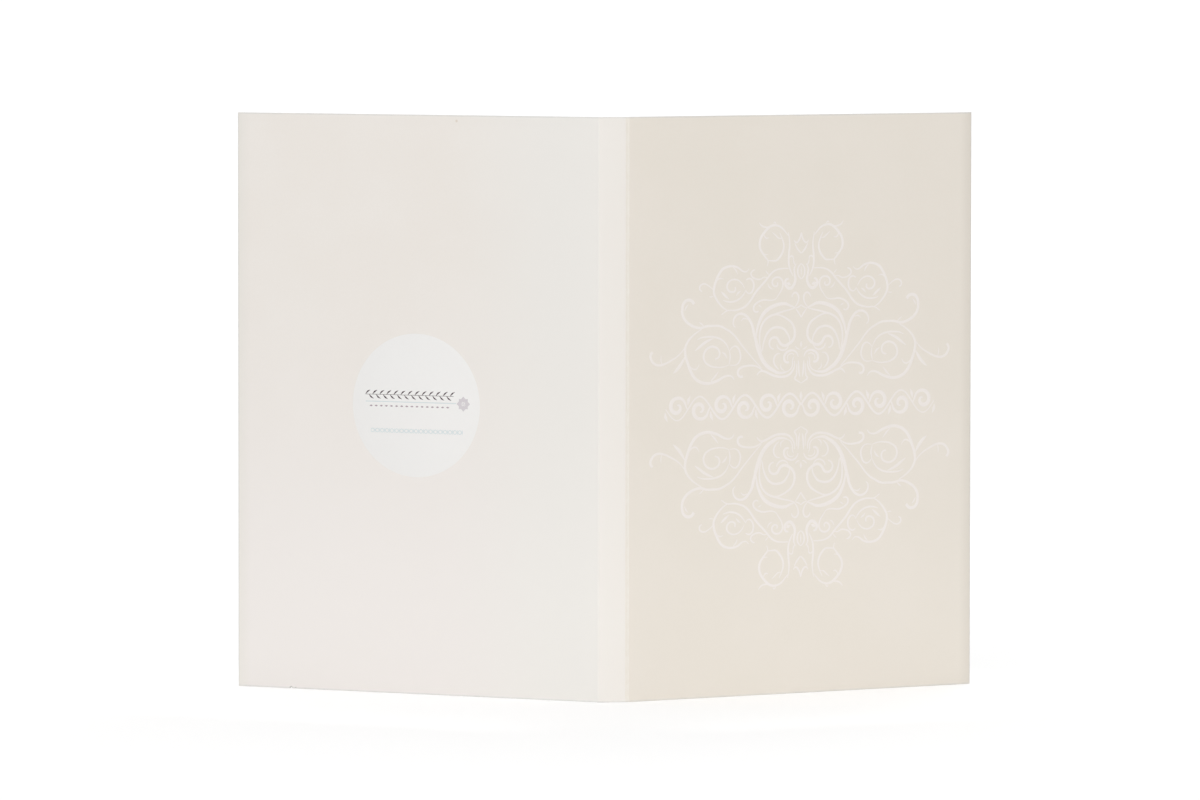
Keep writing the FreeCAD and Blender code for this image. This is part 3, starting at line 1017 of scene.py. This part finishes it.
def coated_face(name, colours, spots=(), drift=None):
    """A coated face of the sheet, in its own, cloud, worn and shaded colours: the worn colour is
    rubbing with a painted highlight on the folds, and the shaded one is painted shade on the fore
    edges. Its pattern follows the flat sheet's own map, and its print may drift to one colour
    towards the foot and to another towards the back fold."""
    colour, cloud_colour, worn_highlight_colour, shaded_colour = colours
    material, tree, shader, bump = new_material(name, *COATED)
    flat = add_node(tree, "ShaderNodeUVMap", uv_map="flat_sheet").outputs["UV"]
    grain = use_group(tree, BOARD_GRAIN, Place=flat, Colour=colour, Cloud_Colour=cloud_colour,
                      Clouding=FACE_CLOUDING)
    wear_and_light = use_group(tree, WEAR_AND_PAINTED_LIGHT, Place=flat)
    tone = grain["Colour"]
    if drift:
        foot_colour, fold_colour = drift
        tone = mix_colour(tree, wear_and_light["Towards Foot"], tone, foot_colour)
        tone = mix_colour(tree, wear_and_light["Towards Fold"], tone, fold_colour)
    # On the folds, rubbing and a painted highlight.
    tone = mix_colour(tree, math_node(tree, "MULTIPLY", wear_and_light["Folds"], FOLD_WEAR_AND_HIGHLIGHT), tone, worn_highlight_colour)
    # On the fore edges, painted shade.
    tone = mix_colour(tree, wear_and_light["Fore Edge Shade"], tone, shaded_colour)
    # On the rim, dirt and painted edge shade.
    tone = mix_colour(tree, math_node(tree, "MULTIPLY", wear_and_light["Edges"], RIM_WEAR_AND_SHADE), tone, RIM_GREY)
    for centre, size, spot_colour in spots:
        spot = use_group(tree, SPOT, Place=flat, Centre=(*centre, 0), Size=size)
        tone = mix_colour(tree, spot["Spot"], tone, spot_colour)
    tree.links.new(tone, shader.inputs["Base Color"])
    rougher = math_node(tree, "MULTIPLY", wear_and_light["Folds"], FOLD_ROUGHENING)
    rough = math_node(tree, "ADD", grain["Roughness"], rougher)
    tree.links.new(rough, shader.inputs["Roughness"])
    tree.links.new(grain["Tooth"], bump.inputs["Height"])
    return material


def plain_finish(name, surface, colour, cloud_colour, clouding):
    """A grained finish with no rubbed or dirtied marks and no painted light, whose pattern follows the
    piece's own coordinates.
    """
    material, tree, shader, bump = new_material(name, *surface)
    place = add_node(tree, "ShaderNodeTexCoord").outputs["Object"]
    grain = use_group(tree, BOARD_GRAIN, Place=place, Colour=colour, Cloud_Colour=cloud_colour,
                      Clouding=clouding)
    tree.links.new(grain["Colour"], shader.inputs["Base Color"])
    tree.links.new(grain["Tooth"], bump.inputs["Height"])
    return material, tree, shader, grain["Roughness"]


def cut_edge():
    """The trimmed edge: bare core, rougher than the faces."""
    material, tree, shader, rough = plain_finish("cut_edge", BARE_CORE, EDGE_WHITE, EDGE_GREY,
                                                 EDGE_CLOUDING)
    rougher = map_range(tree, rough, 0.4, 0.6, *EDGE_ROUGHNESS)
    tree.links.new(rougher, shader.inputs["Roughness"])
    return material


def ink(name, colour, thin_colour):
    """Printed ink: a little thinner in places, with the board's tooth under it."""
    material, tree, shader, rough = plain_finish(name, INKED, colour, thin_colour, INK_THINNESS)
    tree.links.new(rough, shader.inputs["Roughness"])
    return material


BOARD_GRAIN = board_grain_group()
WEAR_AND_PAINTED_LIGHT = wear_and_light_group()
SPOT = spot_group()


# Making the card

def make_card():
    """The folded sheet, which stands for the solid card. Returns how far it was shifted."""
    spots = [(SPECK, SPECK_SIZE, SPECK_BROWN)]
    for place, half_width, depth in BRUISES:
        spots.append(((place, BRUISE_SPOT_HEIGHT), half_width * BRUISE_SPOT_SIZE, BRUISE_GREY))
    back_face = coated_face("ivory_face", (IVORY, IVORY_CLOUD, IVORY_WORN_AND_HIGHLIGHT, IVORY_SHADED),
                            spots, (IVORY_FOOT, IVORY_FOLD))
    # The spine takes a lighter copy of the ivory: painted light.
    spine_face = coated_face("lit_ivory_spine", (LIT_SPINE_IVORY, IVORY_WORN_AND_HIGHLIGHT, IVORY_WORN_AND_HIGHLIGHT, IVORY_SHADED))
    front_face = coated_face("beige_face", (BEIGE, BEIGE_CLOUD, BEIGE_WORN_AND_HIGHLIGHT, BEIGE_SHADED))
    inner_face = coated_face("white_inside", (INSIDE, INSIDE_CLOUD, INSIDE, INSIDE_CLOUD))
    sheet = flat_sheet()
    thicken_and_trim(sheet)
    print_sheet(sheet, back_face, spine_face, front_face, inner_face, cut_edge())
    press_scores(sheet)
    bruise_bottom_edge(sheet)
    shift = fold_sheet(sheet)
    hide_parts("card")
    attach(sheet, "root")
    return shift


def make_front_ornament(shift):
    """The scrollwork above and below the middle of the front cover, and the band between."""
    place = cover_matrix(FRONT_FOLD + ORNAMENT_FROM_FOLD, DESIGN_HEIGHT, shift)
    white = ink("white_ink", WHITE_INK, WHITE_INK_THIN)
    upper = symmetrical("scrollwork_upper", QUARTER, QUARTER_AXIS)
    lower = flipped(upper, 1, -1)
    lower.name = "scrollwork_lower"
    band = symmetrical("scroll_band", running_scroll(), BAND_AXIS)
    for piece in (upper, lower, band):
        lay(piece, place, white)


def make_back_label(shift):
    """The white disc on the back cover and the ornament printed on it."""
    flat_place = BACK_FOLD - LABEL_FROM_FOLD
    on_board = cover_matrix(flat_place, DESIGN_HEIGHT, shift)
    on_disc = on_board @ Matrix.Translation((0, 0, LABEL_HEIGHT))
    white = ink("label_white", LABEL_WHITE, LABEL_CLOUD)
    dark = ink("dark_ink", DARK_INK, DARK_INK_THIN)
    teal = ink("teal_ink", TEAL_INK, TEAL_INK_THIN)
    mauve = ink("mauve_ink", MAUVE_INK, MAUVE_INK_THIN)
    pale_mauve = ink("pale_mauve_ink", PALE_MAUVE_INK, PALE_MAUVE_INK_THIN)
    lay(label_disc(), on_board, white)
    lay(draw("label_garland", garland()), on_disc, dark)
    lay(draw("label_rule", rule()), on_disc, teal)
    lay(draw("label_dots", dots()), on_disc, mauve)
    lay(draw("label_chain", chain()), on_disc, teal)
    lay(draw("label_rosette", rosette()), on_disc, pale_mauve)


# The studio

FLOOR_RADIUS = 40
FLOOR_GREY = 0.9

# The glow that makes the floor look white, at the card and from some way off.
NEAR_GLOW = 0.245
FAR_GLOW = 0.34
NEAR_RADIUS = 0.3
FAR_RADIUS = 1.5

# The camera, with its lens in millimetres and its tilt and roll in degrees.
CAMERA_PLACE = (-0.00185, -3.2027, 0.2862)
CAMERA_LENS = 265.47
CAMERA_TILT = 3.2118
CAMERA_ROLL = 0.049

# The room's light, its share at the sides and what the front and the back add to that, and how
# bright the room itself is seen: just over 1, so that it stays white after noise is removed.
ROOM_LIGHT = 0.942
SIDE_SHARE = 0.45
FRONT_SHARE = 0.95
SEEN_WHITE = 1.04

# Softboxes before and behind the card, and low ones near the foot of each cover, whose place
# and aim are mirrored to all four sides. Sizes are width and height.
KEY_PLACE = (-0.35, -1.1, 0.55)
REAR_PLACE = (0.35, 1.1, 0.55)
SOFTBOX_AIM = (0, 0, 0.1)
SOFTBOX_SIZE = (0.5, 0.5)
SOFTBOX_POWER = 0.45
LOW_PLACE = Vector((0.13, 0.12, 0.02))
LOW_AIM = Vector((0.066, 0.0075, 0.015))
LOW_SIZE = (0.2, 0.02)
LOW_POWER = 0.0048
LIGHT_SPREAD = 100


def seen_directly(tree):
    """1 for rays from the camera, and for those that a reflection or glass shows."""
    path = add_node(tree, "ShaderNodeLightPath")
    seen = math_node(tree, "ADD", path.outputs["Is Camera Ray"], path.outputs["Is Glossy Ray"])
    return math_node(tree, "ADD", seen, path.outputs["Is Transmission Ray"], clamp=True)


def make_floor():
    """A pale floor that shows white and keeps the card's faint shadow."""
    bpy.ops.object.select_all(action="DESELECT")
    bpy.ops.mesh.primitive_circle_add(vertices=96, radius=FLOOR_RADIUS, fill_type="NGON")
    floor = new_piece("floor")
    material = bpy.data.materials.new("floor_white")
    material.use_nodes = True
    tree = material.node_tree
    shader = tree.nodes["Principled BSDF"]
    shader.inputs["Roughness"].default_value = 1
    shader.inputs["Specular IOR Level"].default_value = 0
    shader.inputs["Base Color"].default_value = (FLOOR_GREY, FLOOR_GREY, FLOOR_GREY, 1)
    shader.inputs["Emission Color"].default_value = (1, 1, 1, 1)
    gap = add_node(tree, "ShaderNodeVectorMath", operation="LENGTH")
    tree.links.new(add_node(tree, "ShaderNodeTexCoord").outputs["Object"], gap.inputs[0])
    glow = map_range(tree, gap.outputs["Value"], NEAR_RADIUS, FAR_RADIUS, NEAR_GLOW, FAR_GLOW)
    strength = math_node(tree, "MULTIPLY", seen_directly(tree), glow)
    tree.links.new(strength, shader.inputs["Emission Strength"])
    floor.data.materials.append(material)


def make_world():
    """A white room that is seen as white. Its light is soft, and fuller from the front and the
    back than from the sides."""
    world = bpy.data.worlds.new("room")
    bpy.context.scene.world = world
    world.use_nodes = True
    tree = world.node_tree
    background = tree.nodes["Background"]
    background.inputs["Color"].default_value = (1, 1, 1, 1)
    direction = add_node(tree, "ShaderNodeSeparateXYZ")
    tree.links.new(add_node(tree, "ShaderNodeTexCoord").outputs["Generated"], direction.inputs[0])
    fullness = math_node(tree, "ABSOLUTE", direction.outputs["Y"])
    share = math_node(tree, "ADD", math_node(tree, "MULTIPLY", fullness, FRONT_SHARE), SIDE_SHARE)
    light = math_node(tree, "MULTIPLY", share, ROOM_LIGHT)
    seen = seen_directly(tree)
    unseen = math_node(tree, "SUBTRACT", 1, seen)
    strength = math_node(tree, "ADD", math_node(tree, "MULTIPLY", light, unseen),
                         math_node(tree, "MULTIPLY", seen, SEEN_WHITE))
    tree.links.new(strength, background.inputs["Strength"])


def make_light(name, place, aim, size, power):
    """A soft area light, turned towards its aim and not seen by the camera."""
    bpy.ops.object.light_add(type="AREA", location=place)
    light = new_piece(name)
    light.rotation_euler = (Vector(aim) - Vector(place)).to_track_quat("-Z", "Y").to_euler()
    light.data.shape = "RECTANGLE"
    light.data.size, light.data.size_y = size
    light.data.energy = power
    light.data.spread = math.radians(LIGHT_SPREAD)
    light.visible_camera = False


def make_lights():
    make_light("key_softbox", KEY_PLACE, SOFTBOX_AIM, SOFTBOX_SIZE, SOFTBOX_POWER)
    make_light("rear_softbox", REAR_PLACE, SOFTBOX_AIM, SOFTBOX_SIZE, SOFTBOX_POWER)
    for across in (-1, 1):
        for depth in (-1, 1):
            mirror = Vector((across, depth, 1))
            make_light("low_softbox", LOW_PLACE * mirror, LOW_AIM * mirror, LOW_SIZE, LOW_POWER)


def make_camera():
    bpy.ops.object.camera_add(location=CAMERA_PLACE)
    camera = new_piece("camera")
    camera.rotation_mode = "ZYX"
    camera.rotation_euler = (math.radians(90 - CAMERA_TILT), 0, math.radians(CAMERA_ROLL))
    camera.data.sensor_width = 36
    camera.data.lens = CAMERA_LENS
    camera.data.clip_start = 0.1
    camera.data.clip_end = 100
    bpy.context.scene.camera = camera


bpy.context.scene.view_settings.view_transform = "Standard"
bpy.context.tool_settings.mesh_select_mode = (True, False, False)
sheet_shift = make_card()
make_front_ornament(sheet_shift)
make_back_label(sheet_shift)
make_floor()
make_world()
make_lights()
make_camera()
